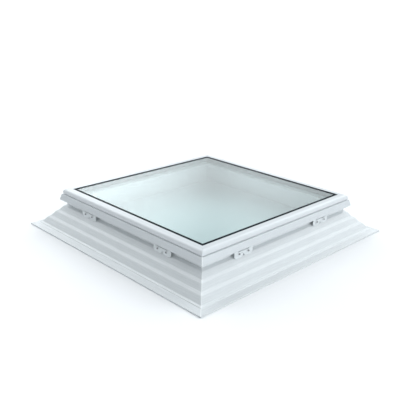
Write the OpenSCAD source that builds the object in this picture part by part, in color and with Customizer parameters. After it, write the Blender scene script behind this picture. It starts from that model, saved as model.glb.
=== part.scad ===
// Fixed flat-glass rooflight on a flared, multi-chamber PVC upstand.
// Every section is drawn as [s, h]: s is the distance outwards from the outer
// edge of the glazing gasket, h is the height above the roof deck.

/* [Overall] */
// Daylight width, across the outer edges of the glazing gasket (along X)
daylight_w = 1014; // [700:2:1500]
// Daylight length, across the outer edges of the glazing gasket (along Y)
daylight_l = 1014; // [700:2:1500]
// Height of the upstand above the roof deck
upstand_h = 160; // [130:5:250]

/* [Upstand] */
// How far the roof opening is wider than the daylight opening, on each side
splay = 93; // [75:1:125]
// Thickness of the outer walls, measured level
wall = 4; // [3:0.5:5]
// Thickness of the webs between chambers
web = 2; // [1.5:0.5:3]
// Height of the upright neck under the glazing frame
neck_h = 37; // [34:1:50]
// Distance of the neck's outer face from the gasket edge
neck_s = 26; // [24:1:32]
// Distance of the inner face from the gasket edge, inwards
throat = 27; // [25:1:31]
// Level distance from one moulded step of the outer face to the next
step_pitch = 33; // [28:1:34]
// Level width of the flatter part of each step
step_flat = 14; // [10:1:18]
// Level width of the solid foot, from the inner edge to the toe of the slope
foot = 35; // [30:1:45]
// Width of the fixing flange beyond the toe
flange_w = 46; // [35:1:60]
// Thickness of the fixing flange at its outer edge
flange_t = 7; // [6:0.5:9]

/* [Glazing] */
// Thickness of each pane
pane_t = 6; // [4:0.5:8]
// Gap between the panes
cavity = 16; // [12:1:20]
// Clearance from the panes' edge to the frame
edge_gap = 6; // [4:0.5:7]
// Width of the black gasket seen from above
gasket_w = 16; // [12:1:18]
// Width of the spacer bar
spacer_w = 7; // [5:0.5:8]
// Width of the sealant behind the spacer bar
sealant_w = 5; // [4:0.5:6]

/* [Frame] */
// Height of the frame under the glass
frame_h = 14.5; // [12:0.5:20]
// Thickness of the frame and bead walls
frame_wall = 3; // [2:0.25:3.5]
// Height of the outer skirt below the frame
skirt_drop = 14.5; // [10:0.5:16]
// Thickness of the seals under the frame
seal_t = 3; // [2:0.5:4]
// Radius of the bead's outer shoulder
shoulder_r = 17; // [8:1:18]

/* [Clips] */
// Length of a fixing clip
clip_len = 122; // [100:2:140]
// Distance of a clip's middle from the gasket corner
clip_inset = 215; // [165:2.5:250]
// Distance between the two screws of a clip
screw_gap = 60; // [50:1:70]
// Diameter of a screw's shank
screw_d = 4.8; // [4:0.2:5.6]
// Length of a screw under its head
screw_len = 38; // [30:1:42]

/* [Hidden] */
$fn = 48;
eps = 1;                      // how far a cutter runs past what it cuts
front = 0;
right = 1;
back = 2;
left = 3;
arc_steps = 5;

// Heights, from the roof deck upwards
neck_z = upstand_h - neck_h;
frame_z = upstand_h + seal_t;
ledge_z = frame_z + frame_h;
tape_t = 3;
inner_pane_z = ledge_z + tape_t;
cavity_z = inner_pane_z + pane_t;
outer_pane_z = cavity_z + cavity;
glass_z = outer_pane_z + pane_t;
rebate_h = 7.5;
bead_z = ledge_z + rebate_h;
bead_top_z = glass_z + 1;
lip_t = 1.5;
skirt_z = frame_z - skirt_drop;

// Upstand slope
throat_h = 8;                 // upright stretch of the inner face at the top
throat_z = upstand_h - throat_h;
toe_s = splay + foot;
toe_z = 20.5;
flange_root = [toe_s + 14, 2 * flange_t];
rib_s = toe_s + 9;            // low rib that marks where the flange begins
rib_w = 5;
rib_h = 1.3;
flange_s = toe_s + flange_w;
base_wall = 3;
slope = (neck_z - toe_z) / (toe_s - neck_s);
flat_slope = 0.71 * slope;
step_r = 7;
neck_r = 2;
core_s = neck_s - 28;         // upright web inside the neck

// Frame and bead
nose_chamfer = 6;
shoulder_s = neck_s + 9;
shoulder_lip = 3;             // height of the shadow gap under the bead
bead_s = shoulder_s + 5;
skirt_top = [shoulder_s + 10.5, bead_z - 4.5];
skirt_foot = [skirt_top.x + 9.5, skirt_z];
leg_s = neck_s + 1;           // the leg that the clips hold down
leg_t = 3;
leg_drop = 16.5;
leg_z = frame_z - leg_drop;
toe_hook = [leg_s + 7, leg_z + 3.5];
tongue_s = neck_s - 12.3;
tongue_t = 2.6;
tongue_h = 9;
barb = [1.7, 5];
slot_play = 0.4;

// Clips and screws
clip_s = neck_s + 20;
clip_t = 3;
clip_top = skirt_z - 1.5;
screw_z = neck_z + 6;
foot_play = 1;                // between the clip's foot and the slope
clip_back_z = neck_z + neck_r;
clip_back_len = clip_len - 18;
clip_notch = [screw_gap / 2 + 6, 7.5];
lobe_gap = 3;
lobe_r = 15;
boss_t = 1.2;
boss_r = 10;
sleeve_r = 4.8;
screw_play = 0.3;
pilot_play = 0.1;
head_r = 5.6;
head_h = 3.8;
drive_r = 2.7;
drive_h = 2.4;
tip_h = 7;

// Glazing rings
tape_w = 12;
block_len = 100;
stem_h = 8;
block_h = glass_z - stem_h - ledge_z - 1.5;
seal_w = 10;
inner_seal_s = 6 - throat;
outer_seal_s = neck_s - 3 - seal_w;
panes_s = -edge_gap;          // edge of the panes
side_play = 0.3;              // between the panes and what lies beside them

// Corners of a closed outline given as [x, y, radius], each turned into an arc
function unit(v) = v / norm(v);
function arc_corner(before, at, after, r) =
    let (u = unit(before - at))
    let (v = unit(after - at))
    let (half = acos(u * v) / 2)
    let (centre = at + unit(u + v) * r / sin(half))
    let (from = at + u * r / tan(half) - centre)
    let (to = at + v * r / tan(half) - centre)
    let (turn = 180 - 2 * half)
    let (way = sign(cross(from, to)))
    let (start = atan2(from.y, from.x))
    [for (k = [0 : arc_steps]) centre + r * [cos(start + way * turn * k / arc_steps),
                                             sin(start + way * turn * k / arc_steps)]];
function flat(p) = [p.x, p.y];
function rounded(points) =
    let (n = len(points))
    [for (i = [0 : n - 1])
        let (at = points[i])
        each at.z == 0 ? [flat(at)]
            : arc_corner(flat(points[(i + n - 1) % n]), flat(at), flat(points[(i + 1) % n]), at.z)];
function reversed(list) = [for (i = [len(list) - 1 : -1 : 0]) list[i]];
function mirrored(list) = [for (p = reversed(list)) [-p.x, p.y, p.z]];

// Outer and inner faces of the upstand, as s for a height
function step_start(k) = [neck_s + k * step_pitch, neck_z - k * step_pitch * slope];
function step_end(k) = step_start(k) + [step_flat, -step_flat * flat_slope];
function swap(p) = [p.y, p.x];
steps = [0, 1, 2];
outer_line = [
    [neck_s, upstand_h],
    for (k = steps) each [step_start(k), step_end(k)],
    [toe_s, toe_z]
];
inner_line = [[splay, 0], [-throat, throat_z], [-throat, upstand_h]];
outer_table = [for (p = reversed(outer_line)) swap(p)];
inner_table = [for (p = inner_line) swap(p)];
function outer_at(h) = lookup(h, outer_table);
function inner_at(h) = lookup(h, inner_table);
slope_line = [for (p = outer_line) if (p.y <= neck_z) p];
function slope_at(s) = lookup(s, slope_line);
clip_foot = slope_at(clip_s - clip_t) + foot_play;

// Placing a piece on one of the four sides: X runs along it, -Y is outwards
function along(side) = side % 2 == 0 ? daylight_w : daylight_l;
function across(side) = side % 2 == 0 ? daylight_l : daylight_w;
module on_side(side) {
    rotate([0, 0, 90 * side])
        translate([0, -across(side) / 2, 0])
            children();
}
module run_along(length) {
    rotate([90, 0, -90])
        linear_extrude(height = length, center = true)
            children();
}
module face_plate(s, thickness) {
    translate([0, -s, 0])
        rotate([90, 0, 0])
            linear_extrude(height = thickness)
                children();
}
module outward(s) {
    translate([0, -s, 0])
        rotate([90, 0, 0])
            children();
}
// A length of profile with both ends mitred at 45 degrees
module mitred_side(side) {
    reach_in = 60;
    reach_out = flange_s + 20;
    half = along(side) / 2;
    on_side(side)
        intersection() {
            run_along(2 * (half + reach_out))
                children();
            translate([0, 0, -eps])
                linear_extrude(height = glass_z + 20)
                    polygon([[reach_in - half, reach_in], [half - reach_in, reach_in],
                             [half + reach_out, -reach_out], [-half - reach_out, -reach_out]]);
        }
}
// A one-piece rectangular ring from s_in to s_out
module ring(s_in, s_out, z, height) {
    difference() {
        translate([-daylight_w / 2 - s_out, -daylight_l / 2 - s_out, z])
            cube([daylight_w + 2 * s_out, daylight_l + 2 * s_out, height]);
        translate([-daylight_w / 2 - s_in, -daylight_l / 2 - s_in, z - eps])
            cube([daylight_w + 2 * s_in, daylight_l + 2 * s_in, height + 2 * eps]);
    }
}
module pane(z) {
    width = daylight_w + 2 * panes_s;
    length = daylight_l + 2 * panes_s;
    translate([-width / 2, -length / 2, z])
        cube([width, length, pane_t]);
}

// Places of the clips and of their screws
ends = [-1, 1];
module at_clip(side, end) {
    on_side(side)
        translate([end * (along(side) / 2 - clip_inset), 0, 0])
            children();
}
module at_screws() {
    for (end = ends)
        translate([end * screw_gap / 2, 0, screw_z])
            children();
}

// Upstand: one welded frame of four hollow lengths
function chamber(low, high) =
    let (breaks = [for (k = reversed(steps)) step_end(k).y])
    let (levels = concat([low], [for (b = concat(breaks, [throat_z])) if (b > low && b < high) b], [high]))
    concat([for (h = levels) [inner_at(h) + wall, h]],
           [for (h = reversed(levels)) [outer_at(h) - wall, h]]);
function toe_at(s) = toe_z - (s - toe_s) * (toe_z - flange_root.y) / (flange_root.x - toe_s);
function rib_point(share, rise, r) =
    let (s = rib_s + share * rib_w)
    [s, toe_at(s) + rise, r];
module upstand_section() {
    toe_top = toe_z + 5;
    flange_fall = (flange_root.y - flange_t) / (flange_s - flange_root.x);
    flange_in = flange_root.x + web / 2;
    flange_out = flange_s - 2 * wall;
    difference() {
        polygon(rounded(concat(
            [[neck_s, upstand_h, 1]],
            [for (k = steps) each [[step_start(k).x, step_start(k).y, k == 0 ? neck_r : step_r],
                                   [step_end(k).x, step_end(k).y, step_r]]],
            [[toe_s, toe_z, step_r],
             rib_point(-0.5, 0, 0.8),
             rib_point(-0.25, rib_h, 0.6),
             rib_point(0.25, rib_h, 0.6),
             rib_point(0.5, 0, 0.8),
             [flange_root.x, flange_root.y, 1],
             [flange_s, flange_t, 1.5],
             [flange_s, 0, 0.5],
             [splay, 0, 0.5],
             [-throat, throat_z, 2],
             [-throat, upstand_h, 1]])));
        difference() {
            polygon(chamber(neck_z + web / 2, upstand_h - base_wall));
            translate([core_s - web / 2, 0])
                square([web, upstand_h]);
        }
        for (k = [0, 1])
            polygon(chamber(step_start(k + 1).y + web / 2, step_start(k).y - web / 2));
        polygon(chamber(toe_top + web / 2, step_start(2).y - web / 2));
        polygon([[inner_at(base_wall) + wall, base_wall],
                 [flange_root.x - web / 2, base_wall],
                 [outer_at(toe_top) - wall, toe_top - web / 2],
                 [inner_at(toe_top) + wall, toe_top - web / 2]]);
        polygon([[flange_in, base_wall],
                 [flange_out, base_wall],
                 [flange_out, flange_t + (flange_s - flange_out) * flange_fall - base_wall],
                 [flange_in, flange_root.y - base_wall]]);
    }
}
module upstand_side(side) {
    color("whitesmoke")
        difference() {
            mitred_side(side)
                upstand_section();
            for (end = ends)
                at_clip(side, end)
                    at_screws()
                        outward(neck_s - wall - eps)
                            cylinder(r = screw_d / 2 + pilot_play, h = wall + 2 * eps);
        }
}

// Glazing frame: carries the glass, laps over the upstand with its skirt
function skirt_at(h) = skirt_foot.x + (skirt_top.x - skirt_foot.x)
    * (h - skirt_foot.y) / (skirt_top.y - skirt_foot.y);
module frame_section() {
    cell_z = frame_z + frame_wall;
    cell_top = bead_z - frame_wall;
    recess_z = bead_z - shoulder_lip;
    mid_s = tongue_s + tongue_t + 3;
    difference() {
        polygon(rounded([
            [-throat - 2, ledge_z, 1.5],
            [0, ledge_z, 0],
            [0, bead_z, 0],
            [shoulder_s, bead_z, 0],
            [shoulder_s, recess_z, 0],
            [skirt_top.x, skirt_top.y, 2],
            [skirt_foot.x, skirt_foot.y, 0.8],
            [skirt_foot.x - frame_wall, skirt_foot.y, 0.8],
            [skirt_at(frame_z) - frame_wall, frame_z, 1],
            [leg_s + leg_t, frame_z, 1],
            [leg_s + leg_t, toe_hook.y, 0.5],
            [toe_hook.x, toe_hook.y, 0.5],
            [toe_hook.x, leg_z, 0.5],
            [leg_s, leg_z, 0.5],
            [leg_s, frame_z, 0],
            [nose_chamfer - throat - 2, frame_z, 0],
            [-throat - 2, frame_z + nose_chamfer, 1]]));
        polygon([[nose_chamfer - throat, cell_z],
                 [-web / 2, cell_z],
                 [-web / 2, ledge_z - frame_wall],
                 [frame_wall - throat - 2, ledge_z - frame_wall],
                 [frame_wall - throat - 2, frame_z + nose_chamfer + 1]]);
        translate([frame_wall, cell_z])
            square([mid_s - frame_wall, cell_top - cell_z]);
        translate([tongue_s - slot_play, cell_top - eps])
            square([tongue_t + 2 * slot_play, frame_wall + 2 * eps]);
        polygon([[mid_s + web, cell_z],
                 [skirt_at(cell_z) - frame_wall, cell_z],
                 [skirt_at(skirt_top.y - 2) - frame_wall, skirt_top.y - 2],
                 [shoulder_s - frame_wall, recess_z - frame_wall],
                 [shoulder_s - frame_wall, cell_top],
                 [mid_s + web, cell_top]]);
    }
}
module frame_side(side) {
    color("white")
        mitred_side(side)
            frame_section();
}

// Glazing bead: snaps into the frame and covers the edge of the glass unit
module bead_section() {
    web_s = tongue_s + tongue_t / 2;
    tongue_z = bead_z - tongue_h;
    difference() {
        polygon(rounded([
            [0, bead_top_z, 0.8],
            [bead_s, bead_top_z - 1, shoulder_r],
            [bead_s, bead_z, 0.8],
            [tongue_s + tongue_t, bead_z, 0],
            [tongue_s + tongue_t, tongue_z, 0.5],
            [tongue_s - barb.x, tongue_z, 0.5],
            [tongue_s, tongue_z + barb.y, 0],
            [tongue_s, bead_z, 0],
            [0, bead_z, 0]]));
        translate([frame_wall, bead_z + frame_wall])
            square([web_s - web / 2 - frame_wall, bead_top_z - 1 - bead_z - 2 * frame_wall]);
        polygon(rounded([
            [web_s + web / 2, bead_top_z - 1 - frame_wall, 0],
            [bead_s - frame_wall, bead_top_z - 1 - frame_wall, shoulder_r - frame_wall],
            [bead_s - frame_wall, bead_z + frame_wall, 0],
            [web_s + web / 2, bead_z + frame_wall, 0]]));
    }
}
module bead_side(side) {
    color("white")
        mitred_side(side)
            bead_section();
}

// Sealed glass unit
module outer_pane() {
    color("lightcyan", 0.4)
        pane(outer_pane_z);
}
module inner_pane() {
    color("lightcyan", 0.4)
        pane(inner_pane_z);
}
module spacer_bar() {
    color("dimgray")
        ring(panes_s - sealant_w - spacer_w, panes_s - sealant_w, cavity_z, cavity);
}
module edge_sealant() {
    color("black")
        ring(panes_s - sealant_w, panes_s, cavity_z, cavity);
}

// Rubber and foam round the glass unit and under the frame
module gasket_section() {
    stem_s = panes_s + side_play;
    polygon([[-gasket_w, glass_z],
             [stem_s, glass_z],
             [stem_s, glass_z - stem_h],
             [0, glass_z - stem_h],
             [0, glass_z + lip_t - 0.4],
             [-1.5, glass_z + lip_t],
             [1.5 - gasket_w, glass_z + lip_t - 0.3],
             [-gasket_w, glass_z + 0.4]]);
}
module glazing_gasket() {
    color("black")
        for (side = [front, right, back, left])
            mitred_side(side)
                gasket_section();
}
module glazing_tape() {
    color("dimgray")
        ring(-throat - 1, tape_w - throat - 1, ledge_z, tape_t);
}
module setting_blocks() {
    color("slategray")
        for (side = [front, right, back, left])
            for (end = ends)
                on_side(side)
                    translate([end * along(side) / 4 - block_len / 2, 0, ledge_z])
                        cube([block_len, -panes_s - side_play, block_h]);
}
module frame_seal(s) {
    color("dimgray")
        ring(s, s + seal_w, upstand_h, seal_t);
}

// Fixing clip: screwed to the neck, its hook holds down the frame's leg
module clip_outline() {
    half = clip_len / 2;
    right_half = [
        [lobe_gap / 2, clip_foot + 14, 0],
        [lobe_gap / 2, clip_foot, lobe_r],
        [half, clip_foot, lobe_r],
        [half, clip_top, 2],
        [clip_notch.x, clip_top, 1],
        [clip_notch.x, clip_top - clip_notch.y, 1]];
    polygon(rounded(concat(right_half, mirrored(right_half))));
}
module clip_section() {
    seat_z = clip_top - clip_notch.y;
    plate_in = clip_s - clip_t;
    riser_s = toe_hook.x + 1;
    hook_s = leg_s + leg_t + 0.5;
    polygon([[neck_s, clip_back_z],
             [neck_s, seat_z],
             [riser_s, seat_z],
             [riser_s, toe_hook.y],
             [hook_s, toe_hook.y],
             [hook_s, toe_hook.y + clip_t],
             [riser_s + clip_t, toe_hook.y + clip_t],
             [riser_s + clip_t, seat_z],
             [plate_in, seat_z],
             [plate_in, seat_z - clip_t],
             [neck_s + clip_t, seat_z - clip_t],
             [neck_s + clip_t, clip_back_z]]);
}
module clip(side, end) {
    color("white")
        at_clip(side, end)
            difference() {
                union() {
                    face_plate(clip_s - clip_t, clip_t)
                        clip_outline();
                    run_along(clip_back_len)
                        clip_section();
                    at_screws() {
                        outward(neck_s)
                            cylinder(r = sleeve_r, h = clip_s - clip_t - neck_s);
                        outward(clip_s)
                            cylinder(r = boss_r, h = boss_t);
                    }
                }
                at_screws()
                    outward(neck_s - eps)
                        cylinder(r = screw_d / 2 + screw_play, h = clip_s - neck_s + 3 * eps);
            }
}

// Pan-head screws of all the clips
module screw() {
    dome_r = (head_r * head_r + head_h * head_h) / (2 * head_h);
    difference() {
        rotate_extrude()
            intersection() {
                translate([0, head_h - dome_r])
                    circle(r = dome_r, $fn = 96);
                square([head_r, head_h]);
            }
        translate([0, 0, head_h - drive_h])
            cylinder(r = drive_r, h = drive_h + eps, $fn = 6);
    }
    translate([0, 0, tip_h - screw_len])
        cylinder(d = screw_d, h = screw_len - tip_h);
    translate([0, 0, -screw_len])
        cylinder(d1 = 0.4, d2 = screw_d, h = tip_h);
}
module clip_screws() {
    color("silver")
        for (side = [front, right, back, left])
            for (end = ends)
                at_clip(side, end)
                    at_screws()
                        outward(clip_s + boss_t)
                            screw();
}

upstand_side(front);  // upstand_front
upstand_side(right);  // upstand_right
upstand_side(back);  // upstand_back
upstand_side(left);  // upstand_left
frame_side(front);  // frame_front
frame_side(right);  // frame_right
frame_side(back);  // frame_back
frame_side(left);  // frame_left
bead_side(front);  // bead_front
bead_side(right);  // bead_right
bead_side(back);  // bead_back
bead_side(left);  // bead_left
outer_pane();
inner_pane();
spacer_bar();
edge_sealant();
glazing_gasket();
glazing_tape();
setting_blocks();
frame_seal(inner_seal_s);  // frame_seal_inner
frame_seal(outer_seal_s);  // frame_seal_outer
clip(front, -1);  // clip_front_left
clip(front, 1);  // clip_front_right
clip(right, -1);  // clip_right_front
clip(right, 1);  // clip_right_back
clip(back, -1);  // clip_back_right
clip(back, 1);  // clip_back_left
clip(left, -1);  // clip_left_back
clip(left, 1);  // clip_left_front
clip_screws();
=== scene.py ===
import math

import bmesh
import bpy
from mathutils import Matrix, Vector


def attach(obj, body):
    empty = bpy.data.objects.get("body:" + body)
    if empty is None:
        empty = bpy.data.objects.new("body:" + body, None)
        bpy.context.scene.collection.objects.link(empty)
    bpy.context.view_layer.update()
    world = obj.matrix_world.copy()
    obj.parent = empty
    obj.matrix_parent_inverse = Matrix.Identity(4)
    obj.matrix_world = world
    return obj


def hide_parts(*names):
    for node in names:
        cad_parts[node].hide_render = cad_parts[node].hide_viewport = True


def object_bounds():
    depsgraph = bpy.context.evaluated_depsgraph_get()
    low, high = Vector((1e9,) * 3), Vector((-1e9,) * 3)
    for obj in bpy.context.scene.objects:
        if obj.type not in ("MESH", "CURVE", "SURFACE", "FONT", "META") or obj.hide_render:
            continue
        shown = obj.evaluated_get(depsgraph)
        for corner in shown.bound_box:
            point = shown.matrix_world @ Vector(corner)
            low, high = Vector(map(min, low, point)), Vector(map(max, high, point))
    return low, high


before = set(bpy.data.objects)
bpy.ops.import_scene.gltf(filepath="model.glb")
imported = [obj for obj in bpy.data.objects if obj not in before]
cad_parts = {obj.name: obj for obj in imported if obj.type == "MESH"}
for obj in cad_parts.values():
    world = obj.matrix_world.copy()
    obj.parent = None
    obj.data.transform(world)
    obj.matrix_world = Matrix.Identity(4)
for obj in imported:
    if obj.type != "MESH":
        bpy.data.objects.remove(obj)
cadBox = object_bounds()
scene = bpy.context.scene
mm = 0.001

# The four sides in order round the light: X runs along front and back, Y along the other two
sides = ["front", "right", "back", "left"]


def newPiece(name, shape, material, replaced, smoothAngle=30.0):
    mesh = bpy.data.meshes.new(name)
    shape.to_mesh(mesh)
    shape.free()
    mesh.materials.append(material)
    mesh.shade_smooth()
    mesh.set_sharp_from_angle(angle=math.radians(smoothAngle))
    piece = bpy.data.objects.new(name, mesh)
    scene.collection.objects.link(piece)
    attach(piece, "root")
    if replaced:
        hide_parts(*replaced)
    return piece


copyLook = {
    "mergeWithin": 0.002 * mm,
    "flatWithin": math.radians(0.3),
}


def cleanCopy(nodeName):
    # the CAD mesh is loose triangles: a copy is merged, and its flat faces are made whole again
    shape = bmesh.new()
    shape.from_mesh(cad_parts[nodeName].data)
    bmesh.ops.remove_doubles(shape, verts=shape.verts[:], dist=copyLook["mergeWithin"])
    bmesh.ops.dissolve_limit(
        shape, angle_limit=copyLook["flatWithin"], use_dissolve_boundaries=False,
        verts=shape.verts[:], edges=shape.edges[:])
    return shape


def sharpEdges(shape, angle, keep=lambda edge: True):
    limit = math.radians(angle)
    return [e for e in shape.edges
            if len(e.link_faces) == 2 and e.calc_face_angle(0) > limit and keep(e)]


def roundEdges(shape, edges, width, segments):
    bmesh.ops.bevel(
        shape, geom=edges, offset=width, offset_type="OFFSET", affect="EDGES",
        segments=segments, profile=0.5, material=-1, clamp_overlap=True)


def keepFlatsFlat(piece):
    weighted = piece.modifiers.new("flat faces stay flat", "WEIGHTED_NORMAL")
    weighted.keep_sharp = True
    weighted.weight = 100


class Look:
    # a material under construction, with the shader that everything feeds
    def __init__(self, name):
        self.material = bpy.data.materials.new(name)
        self.material.use_nodes = True
        self.tree = self.material.node_tree
        self.shader = self.tree.nodes["Principled BSDF"]
        self.output = self.tree.nodes["Material Output"]
        self.coordinates = self.tree.nodes.new("ShaderNodeTexCoord")

    def add(self, kind, **values):
        node = self.tree.nodes.new("ShaderNode" + kind)
        for key, value in values.items():
            setattr(node, key, value)
        return node

    def link(self, source, target):
        self.tree.links.new(source, target)

    def placed(self, scale, turn=(0, 0, 0)):
        mapping = self.add("Mapping")
        mapping.inputs["Scale"].default_value = scale
        mapping.inputs["Rotation"].default_value = turn
        self.link(self.coordinates.outputs["Object"], mapping.inputs["Vector"])
        return mapping.outputs["Vector"]

    # the scale is in grains per metre
    def noise(self, scale, detail=3.0, roughness=0.5, stretch=(1, 1, 1)):
        texture = self.add("TexNoise")
        texture.inputs["Scale"].default_value = scale
        texture.inputs["Detail"].default_value = detail
        texture.inputs["Roughness"].default_value = roughness
        self.link(self.placed(stretch), texture.inputs["Vector"])
        return texture.outputs["Fac"]

    def ranged(self, value, low, high, fromLow=0.3, fromHigh=0.7):
        node = self.add("MapRange")
        node.inputs["From Min"].default_value = fromLow
        node.inputs["From Max"].default_value = fromHigh
        node.inputs["To Min"].default_value = low
        node.inputs["To Max"].default_value = high
        self.link(value, node.inputs["Value"])
        return node.outputs["Result"]

    def math(self, operation, first, second):
        node = self.add("Math", operation=operation)
        for socket, value in zip(node.inputs, (first, second)):
            if isinstance(value, (int, float)):
                socket.default_value = value
            else:
                self.link(value, socket)
        return node.outputs[0]

    def blend(self, factor, first, second):
        node = self.add("Mix", data_type="RGBA")
        self.link(factor, node.inputs["Factor"])
        for socket, value in ((node.inputs["A"], first), (node.inputs["B"], second)):
            if isinstance(value, tuple):
                socket.default_value = (*value, 1)
            else:
                self.link(value, socket)
        return node.outputs["Result"]

    def bump(self, height, distance, strength=1.0, under=None):
        node = self.add("Bump")
        node.inputs["Distance"].default_value = distance
        node.inputs["Strength"].default_value = strength
        self.link(height, node.inputs["Height"])
        if under:
            self.link(under, node.inputs["Normal"])
        return node.outputs["Normal"]

    def finish(self, color=None, roughness=None, normal=None, **values):
        for socketName, source in (("Base Color", color), ("Roughness", roughness), ("Normal", normal)):
            if source is not None:
                self.link(source, self.shader.inputs[socketName])
        for key, value in values.items():
            self.shader.inputs[key.replace("_", " ")].default_value = value
        return self.material


cameraLook = {
    "azimuth": -44.65,               # degrees round from the front, minus is to the left
    "elevation": 20.37,
    "roll": 1.07,
    "distance": 2.9637,
    "lens": 51.13,
    "sensor": 36,
    "aim": (-0.1661, -0.1907, 0.2095),
}


def placeCamera():
    azimuth = math.radians(cameraLook["azimuth"])
    elevation = math.radians(cameraLook["elevation"])
    level = math.cos(elevation)
    towardsCamera = Vector((math.sin(azimuth) * level, -math.cos(azimuth) * level, math.sin(elevation)))
    cameraData = bpy.data.cameras.new("camera")
    cameraData.lens = cameraLook["lens"]
    cameraData.sensor_width = cameraLook["sensor"]
    camera = bpy.data.objects.new("camera", cameraData)
    scene.collection.objects.link(camera)
    facing = towardsCamera.to_track_quat("Z", "Y").to_matrix().to_4x4()
    rolled = facing @ Matrix.Rotation(math.radians(cameraLook["roll"]), 4, "Z")
    place = Vector(cameraLook["aim"]) + towardsCamera * cameraLook["distance"]
    camera.matrix_world = Matrix.Translation(place) @ rolled
    return camera


camera = placeCamera()
scene.camera = camera
print("camera placed at", [round(v, 4) for v in camera.location])

lightLook = {
    "sky": 0.08,
    "skyColor": (0.93, 0.975, 1.0),
    # soft boxes of the studio: degrees round from the back to the right, degrees up, reach, strength
    "boxes": {
        "back": (350, 20, 30, 2.6),
        "back high": (3, 50, 26, 3.9),
        "back right": (21, 18, 24, 2.25),
        "far right": (62, 19, 24, 0.6),
        "low right": (47, 13, 15, 0.65),
        "right": (98, 20, 42, 2.5),
        "right high": (94, 50, 26, 3.2),
        "left": (287, 34, 30, 1.2),
        "camera side": (220, 8, 40, 1.35),
        "front": (168, 10, 44, 2.65),
    },
}


def softBox(sky, direction, under, azimuth, height, reach, strength):
    # adds one soft box to the brightness that comes in, and returns the sum
    around = math.radians(azimuth)
    up = math.radians(height)
    middle = (math.sin(around) * math.cos(up), math.cos(around) * math.cos(up), math.sin(up))
    towardsBox = sky.nodes.new("ShaderNodeVectorMath")
    towardsBox.operation = "DOT_PRODUCT"
    towardsBox.inputs[1].default_value = middle
    sky.links.new(direction.outputs["Generated"], towardsBox.inputs[0])
    shape = sky.nodes.new("ShaderNodeMapRange")
    shape.interpolation_type = "SMOOTHSTEP"
    shape.inputs["From Min"].default_value = math.cos(math.radians(reach))
    shape.inputs["From Max"].default_value = 1.0
    shape.inputs["To Max"].default_value = strength
    sky.links.new(towardsBox.outputs["Value"], shape.inputs["Value"])
    total = sky.nodes.new("ShaderNodeMath")
    total.operation = "ADD"
    total.inputs[0].default_value = lightLook["sky"]
    if under:
        sky.links.new(under, total.inputs[0])
    sky.links.new(shape.outputs["Result"], total.inputs[1])
    return total.outputs[0]


def buildStudio():
    world = bpy.data.worlds.new("studio")
    world.use_nodes = True
    sky = world.node_tree
    background = sky.nodes["Background"]
    background.inputs["Color"].default_value = (*lightLook["skyColor"], 1)
    direction = sky.nodes.new("ShaderNodeTexCoord")
    brightness = None
    for box in lightLook["boxes"].values():
        brightness = softBox(sky, direction, brightness, *box)
    # seen directly, past the edge of the floor, the studio is plain white paper
    path = sky.nodes.new("ShaderNodeLightPath")
    seen = sky.nodes.new("ShaderNodeMath")
    seen.operation = "MAXIMUM"
    sky.links.new(path.outputs["Is Camera Ray"], seen.inputs[0])
    sky.links.new(brightness, seen.inputs[1])
    sky.links.new(seen.outputs[0], background.inputs["Strength"])
    return world


scene.world = buildStudio()
scene.view_settings.view_transform = "Standard"
print("light ready")


floorLook = {
    "shade": (0.83, 0.83, 0.84),
    "light": (0.85, 0.85, 0.86),
    "reach": 200,                    # metres from the middle to each edge
    "squares": 40,
    "gap": 0.2 * mm,                 # under the flange, so that the two don't share a plane
}


def floorPaint():
    look = Look("studio floor")
    shade = look.blend(look.ranged(look.noise(1.3, 2), 0, 1), floorLook["shade"], floorLook["light"])
    grain = look.bump(look.noise(240, 2), 0.1 * mm, 0.3)
    return look.finish(shade, look.ranged(look.noise(8), 0.55, 0.65), grain)


def layFloor():
    squares = floorLook["squares"]
    shape = bmesh.new()
    bmesh.ops.create_grid(shape, x_segments=squares, y_segments=squares, size=floorLook["reach"])
    mesh = bpy.data.meshes.new("floor")
    shape.to_mesh(mesh)
    shape.free()
    mesh.materials.append(floorPaint())
    floor = bpy.data.objects.new("floor", mesh)
    floor.location.z = cadBox[0].z - floorLook["gap"]
    scene.collection.objects.link(floor)
    return floor


layFloor()
print("floor ready")


pvcLook = {
    "upstand": {"white": (0.60, 0.63, 0.645), "shade": (0.58, 0.605, 0.62), "roughness": (0.22, 0.32)},
    "frame": {"white": (0.57, 0.60, 0.62), "shade": (0.55, 0.575, 0.595), "roughness": (0.20, 0.30)},
    "bead": {"white": (0.60, 0.63, 0.65), "shade": (0.58, 0.605, 0.625), "roughness": (0.16, 0.25)},
}


def extrudedPvc(kind, side):
    # PVC drawn through a die: faint lines that run along the length, over a fine orange peel
    settings = pvcLook[kind]
    look = Look(f"{kind} pvc, {side}")
    stretch = (0.012, 1, 1) if side in ("front", "back") else (1, 0.012, 1)
    drawn = look.noise(190, 4, 0.6, stretch)
    fineDrawn = look.noise(900, 3, 0.6, stretch)
    cloud = look.noise(7, 3)
    shade = look.math("ADD", look.math("MULTIPLY", drawn, 0.6), look.math("MULTIPLY", cloud, 0.4))
    color = look.blend(look.ranged(shade, 0, 1, 0.35, 0.65), settings["shade"], settings["white"])
    low, high = settings["roughness"]
    roughness = look.ranged(fineDrawn, low, high)
    lines = look.bump(drawn, 0.06 * mm, 0.5)
    fineLines = look.bump(fineDrawn, 0.01 * mm, 0.5, lines)
    peel = look.bump(look.noise(600, 2), 0.008 * mm, 0.4, fineLines)
    return look.finish(color, roughness, peel, IOR=1.53)


glassLook = {
    "tint": (0.885, 0.93, 0.928),   # one pane, both faces passed
    "lampTint": (0.88, 0.93, 0.93),
}


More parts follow.
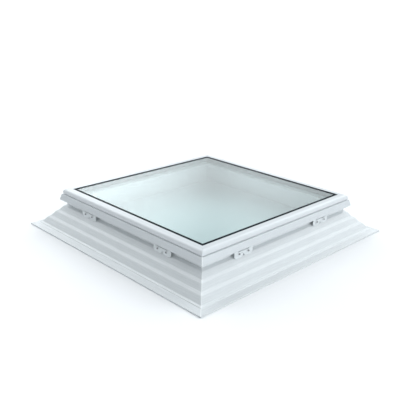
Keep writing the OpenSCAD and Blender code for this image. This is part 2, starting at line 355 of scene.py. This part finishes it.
def floatGlass():
    look = Look("float glass")
    look.finish(Roughness=0.0, IOR=1.52, Transmission_Weight=1.0)
    look.shader.inputs["Base Color"].default_value = (*glassLook["tint"], 1)
    clear = look.add("BsdfTransparent")
    clear.inputs["Color"].default_value = (*glassLook["lampTint"], 1)
    path = look.add("LightPath")
    letThrough = look.math("MAXIMUM", path.outputs["Is Shadow Ray"], path.outputs["Is Diffuse Ray"])
    mix = look.add("MixShader")
    look.link(letThrough, mix.inputs["Fac"])
    look.link(look.shader.outputs["BSDF"], mix.inputs[1])
    look.link(clear.outputs["BSDF"], mix.inputs[2])
    look.link(mix.outputs["Shader"], look.output.inputs["Surface"])
    return look.material


rubberLook = {
    # dark, light, roughness, grains per metre, gloss
    "gasket rubber": ((0.004, 0.008, 0.011), (0.009, 0.015, 0.020), 0.45, 1400, 0.04),
    "seal rubber": ((0.02, 0.021, 0.023), (0.035, 0.037, 0.04), 0.6, 900, 0.5),
    "edge sealant": ((0.012, 0.013, 0.014), (0.022, 0.023, 0.025), 0.5, 500, 0.5),
    "foam tape": ((0.15, 0.16, 0.165), (0.22, 0.235, 0.24), 0.8, 700, 0.5),
}


def rubber(name):
    dark, light, roughness, grain, gloss = rubberLook[name]
    look = Look(name)
    speck = look.noise(grain, 4, 0.7)
    bloom = look.noise(11, 3)
    color = look.blend(look.ranged(bloom, 0, 1), dark, light)
    rough = look.ranged(look.noise(60, 3), roughness - 0.05, roughness + 0.08)
    return look.finish(color, rough, look.bump(speck, 0.02 * mm, 0.6), IOR=1.5, Specular_IOR_Level=gloss)


plasticLook = {
    # shade, light, roughness
    "setting block plastic": ((0.07, 0.13, 0.2), (0.1, 0.17, 0.25), 0.45),
    "clip plastic": ((0.60, 0.63, 0.645), (0.64, 0.67, 0.685), 0.3),
}


def mouldedPlastic(name):
    shade, light, roughness = plasticLook[name]
    look = Look(name)
    color = look.blend(look.ranged(look.noise(35, 3), 0, 1), shade, light)
    spark = look.noise(1800, 2, 0.6)
    rough = look.ranged(look.noise(220, 3), roughness - 0.05, roughness + 0.07)
    return look.finish(color, rough, look.bump(spark, 0.012 * mm, 0.5), IOR=1.5)


steelLook = {
    # shade, light
    "stainless steel": ((0.40, 0.41, 0.42), (0.56, 0.57, 0.58)),
    # near-black steel for the faces inside the drive: painted shade in the recess, the drive itself is the
    # same steel
    "stainless steel, painted shade in the drive": ((0.05, 0.05, 0.055), (0.09, 0.09, 0.095)),
}


def stainless(name):
    shade, light = steelLook[name]
    look = Look(name)
    color = look.blend(look.ranged(look.noise(150, 3), 0, 1), shade, light)
    rough = look.ranged(look.noise(700, 3, 0.6), 0.22, 0.4)
    return look.finish(color, rough, look.bump(look.noise(2500, 2), 0.006 * mm, 0.5), Metallic=1.0)


spacerLook = {
    "shade": (0.19, 0.225, 0.235),
    "light": (0.24, 0.275, 0.285),
    # near-black inside each hole: painted shade
    "hole": (0.05, 0.055, 0.06),
    "holesPerMetre": 330,
    "holeDepth": 0.2 * mm,
}


def perforatedSpacer():
    # grey spacer with a grid of fine holes that let the drying powder breathe; the holes are only painted,
    # and their near-black colour is painted shade inside them
    look = Look("warm edge spacer")
    base = look.blend(look.ranged(look.noise(35, 3), 0, 1), spacerLook["shade"], spacerLook["light"])
    holes = look.add("TexVoronoi")
    holes.inputs["Scale"].default_value = spacerLook["holesPerMetre"]
    holes.inputs["Randomness"].default_value = 0
    look.link(look.placed((1, 1, 1)), holes.inputs["Vector"])
    hole = look.ranged(holes.outputs["Distance"], 1, 0, 0.14, 0.2)
    color = look.blend(hole, base, spacerLook["hole"])
    rough = look.ranged(look.noise(220, 3), 0.4, 0.55)
    return look.finish(color, rough, look.bump(hole, -spacerLook["holeDepth"], 0.6), IOR=1.5)


glass = floatGlass()
gasketRubber = rubber("gasket rubber")
sealRubber = rubber("seal rubber")
sealantRubber = rubber("edge sealant")
foamTape = rubber("foam tape")
spacerPlastic = perforatedSpacer()
blockPlastic = mouldedPlastic("setting block plastic")
clipPlastic = mouldedPlastic("clip plastic")
screwSteel = stainless("stainless steel")
driveShadeSteel = stainless("stainless steel, painted shade in the drive")
print("materials ready")


mitreLook = {
    "grooveWidth": 0.3 * mm,         # the fine V where two lengths meet
    "grooveSegments": 2,
    "sharpFrom": 20,                 # degrees
    "offDiagonal": 0.02,             # how far a cut end's direction may stray
}


def onMitre(face):
    # a cut end looks along a diagonal and lies level
    n = face.normal
    stray = mitreLook["offDiagonal"]
    return abs(n.z) < stray and abs(abs(n.x) - abs(n.y)) < stray


def profileLength(family, side):
    shape = cleanCopy(f"{family}_{side}")
    cuts = sharpEdges(
        shape, mitreLook["sharpFrom"], lambda edge: sum(onMitre(f) for f in edge.link_faces) == 1)
    roundEdges(shape, cuts, mitreLook["grooveWidth"], mitreLook["grooveSegments"])
    piece = newPiece(
        f"{family}_{side}_profile", shape, extrudedPvc(family, side), [f"{family}_{side}"])
    keepFlatsFlat(piece)
    return piece


weldLook = {
    "width": 2.2 * mm,               # on each side of the mitre
    "height": 0.25 * mm,             # how far the cleaned weld stands proud
    # white and shade are both lighter than the PVC lengths: a painted highlight along the mitre corner
    "white": (0.72, 0.745, 0.755),
    "shade": (0.69, 0.715, 0.725),
    "roughness": (0.18, 0.30),
}


def weldPvcPaintedHighlight():
    # PVC melted at the joint and scraped level, with short scrape marks across it; its brighter colour is
    # a painted highlight along the mitre corner
    look = Look("weld pvc, painted highlight")
    scrape = look.noise(420, 3, 0.6, (1, 1, 0.15))
    low, high = weldLook["roughness"]
    color = look.blend(look.ranged(look.noise(60), 0, 1), weldLook["white"], weldLook["shade"])
    return look.finish(color, look.ranged(scrape, low, high), look.bump(scrape, 0.04 * mm, 0.6), IOR=1.53)


def weldStrip(family, side, end, material):
    # a thin slice of the length beside its mitre, swollen a little
    shape = cleanCopy(f"{family}_{side}")
    turn = math.radians(45 + 90 * ((sides.index(side) + end) % 4))
    outwards = Vector((-math.cos(turn), -math.sin(turn), 0))
    across = Vector((-outwards.y, outwards.x, 0)) * (-1 if end else 1)
    bmesh.ops.bisect_plane(
        shape, geom=shape.verts[:] + shape.edges[:] + shape.faces[:], dist=0.0001 * mm,
        plane_co=across * weldLook["width"], plane_no=across, clear_outer=True)
    bmesh.ops.holes_fill(shape, edges=[e for e in shape.edges if e.is_boundary], sides=0)
    bmesh.ops.recalc_face_normals(shape, faces=shape.faces[:])
    shape.normal_update()
    swollen = {v: v.co + v.normal * weldLook["height"] for v in shape.verts}
    for v, place in swollen.items():
        v.co = [min(max(c, low), high) for c, low, high in zip(place, cadBox[0], cadBox[1])]
    return newPiece(f"{family}_{side}_weld_{end}", shape, material, None)


weldHighlightMaterial = weldPvcPaintedHighlight()
for family, slotName in (("upstand", "upstand_pvc"), ("frame", "frame_pvc"), ("bead", "frame_pvc")):
    for side in sides:
        profileLength(family, side)
        if family != "bead":
            for end in (0, 1):
                weldStrip(family, side, end, weldHighlightMaterial)
    print(family, "done")


easedLook = {
    "sharpFrom": 30,                 # degrees
    "segments": 2,
    "clipWidth": 0.5 * mm,
}


def easedPiece(nodeName, name, material, slotName, width):
    shape = cleanCopy(nodeName)
    if width:
        roundEdges(shape, sharpEdges(shape, easedLook["sharpFrom"]), width, easedLook["segments"])
    piece = newPiece(name, shape, material, [nodeName])
    keepFlatsFlat(piece)
    return piece


glazingParts = {
    # by CAD node: piece, material, slot, width of the eased edges
    "outer_pane": ("glass_outer", glass, "glass", 0.6 * mm),
    "inner_pane": ("glass_inner", glass, "glass", 0.6 * mm),
    "spacer_bar": ("spacer_ring", spacerPlastic, "spacer", 0.6 * mm),
    "edge_sealant": ("sealant_ring", sealantRubber, "sealant", 0),
    "glazing_gasket": ("gasket_ring", gasketRubber, "gasket", 0.25 * mm),
    "glazing_tape": ("tape_ring", foamTape, "foam", 0.3 * mm),
    "setting_blocks": ("setting_block_set", blockPlastic, "blocks", 0.4 * mm),
    "frame_seal_inner": ("seal_ring_inner", sealRubber, "seal", 0.5 * mm),
    "frame_seal_outer": ("seal_ring_outer", sealRubber, "seal", 0.5 * mm),
}
for nodeName, settings in glazingParts.items():
    easedPiece(nodeName, *settings)
print("glazing done")

clipNames = [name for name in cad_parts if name.startswith("clip_") and name != "clip_screws"]
for name in sorted(clipNames):
    easedPiece(name, f"{name}_moulding", clipPlastic, "clip_plastic", easedLook["clipWidth"])

screwLook = {
    # all in mm
    "headHeight": 3.8,
    "headSteps": 8,                  # facets from the crown to the rim
    "headRim": 0.6,                  # the upright edge of the head
    "recess": (2.9, 2.2),            # radius and depth of the drive
    "recessLip": (0.3, 0.25),        # width and depth of the eased edge round the drive
    "shankRadius": 2.4,
    "plainShank": 6,                 # under the head, without thread
    "pitch": 1.8,
    "threadDepth": 0.55,
    "plainTip": 1,                   # between thread and point
    "point": 6,
    "sides": 24,
}


def screwOutline(headRadius, length):
    # half of a pan-head screw as radius and distance along its axis, the head's seat at 0
    radius, depth = screwLook["recess"]
    lipWidth, lipDepth = screwLook["recessLip"]
    top, rim, shank = screwLook["headHeight"], screwLook["headRim"], screwLook["shankRadius"]
    pitch, root = screwLook["pitch"], shank - screwLook["threadDepth"]
    outline = [(0, top - depth), (radius * 0.8, top - depth), (radius, top - lipDepth)]
    crown = radius + lipWidth
    for step in range(1, screwLook["headSteps"] + 1):
        turn = math.radians(90 - 90 / screwLook["headSteps"] * step)
        outline.append((crown + (headRadius - crown) * math.cos(turn), rim + (top - rim) * math.sin(turn)))
    at = -screwLook["plainShank"]
    outline += [(headRadius, 0), (shank, 0), (shank, at)]
    threadEnd = screwLook["point"] + screwLook["plainTip"] - length
    while at - pitch > threadEnd:
        outline += [(root, at - pitch * 0.5), (shank, at - pitch)]
        at -= pitch
    return outline + [(shank * 0.85, screwLook["point"] - length), (0, -length)]


def islandBoxes(shape):
    # the lowest and highest corner of each separate solid
    counted = set()
    boxes = []
    for start in shape.verts:
        if start in counted:
            continue
        counted.add(start)
        reached = [start]
        for vert in reached:
            for edge in vert.link_edges:
                other = edge.other_vert(vert)
                if other not in counted:
                    counted.add(other)
                    reached.append(other)
        boxes.append([Vector([pick(v.co[k] for v in reached) for k in range(3)]) for pick in (min, max)])
    return boxes


def turnedScrew(headRadius, fullLength):
    # lies along X with its head outwards
    outline = screwOutline(headRadius / mm, fullLength / mm - screwLook["headHeight"])
    turned = bmesh.new()
    rim = [turned.verts.new((along * mm, 0, out * mm)) for out, along in outline]
    ring = [turned.edges.new(pair) for pair in zip(rim, rim[1:])]
    bmesh.ops.spin(
        turned, geom=rim + ring, cent=(0, 0, 0), axis=(1, 0, 0), angle=2 * math.pi,
        steps=screwLook["sides"], use_merge=True)
    bmesh.ops.remove_doubles(turned, verts=turned.verts[:], dist=0.001 * mm)
    bmesh.ops.recalc_face_normals(turned, faces=turned.faces[:])
    driveRadius = screwLook["recess"][0] * mm
    # faces inside the drive take the second, near-black material: painted shade in the recess
    for face in turned.faces:
        middle = face.calc_center_median()
        inDrive = middle.x > 1 * mm and math.hypot(middle.y, middle.z) < driveRadius * 0.99
        face.material_index = 1 if inDrive else 0
    screw = bpy.data.meshes.new("one screw")
    turned.to_mesh(screw)
    turned.free()
    return screw


def screwSet():
    cadScrews = cleanCopy("clip_screws")
    boxes = islandBoxes(cadScrews)
    cadScrews.free()
    size = boxes[0][1] - boxes[0][0]
    fullLength = max(size.x, size.y)
    oneScrew = turnedScrew(size.z / 2, fullLength)
    screws = bmesh.new()
    for low, high in boxes:
        middle = (low + high) / 2
        size = high - low
        outwards = Vector((1, 0, 0)) if size.x > size.y else Vector((0, 1, 0))
        if middle.dot(outwards) < 0:
            outwards.negate()
        seat = middle + outwards * (fullLength / 2 - screwLook["headHeight"] * mm)
        placed = oneScrew.copy()
        placed.transform(Matrix.Translation(seat) @ outwards.to_track_quat("X", "Z").to_matrix().to_4x4())
        screws.from_mesh(placed)
        bpy.data.meshes.remove(placed)
    bpy.data.meshes.remove(oneScrew)
    piece = newPiece("screw_set", screws, screwSteel, ["clip_screws"], 40)
    # the near-black second material paints the shade inside each drive
    piece.data.materials.append(driveShadeSteel)


screwSet()
print("clips and screws done")
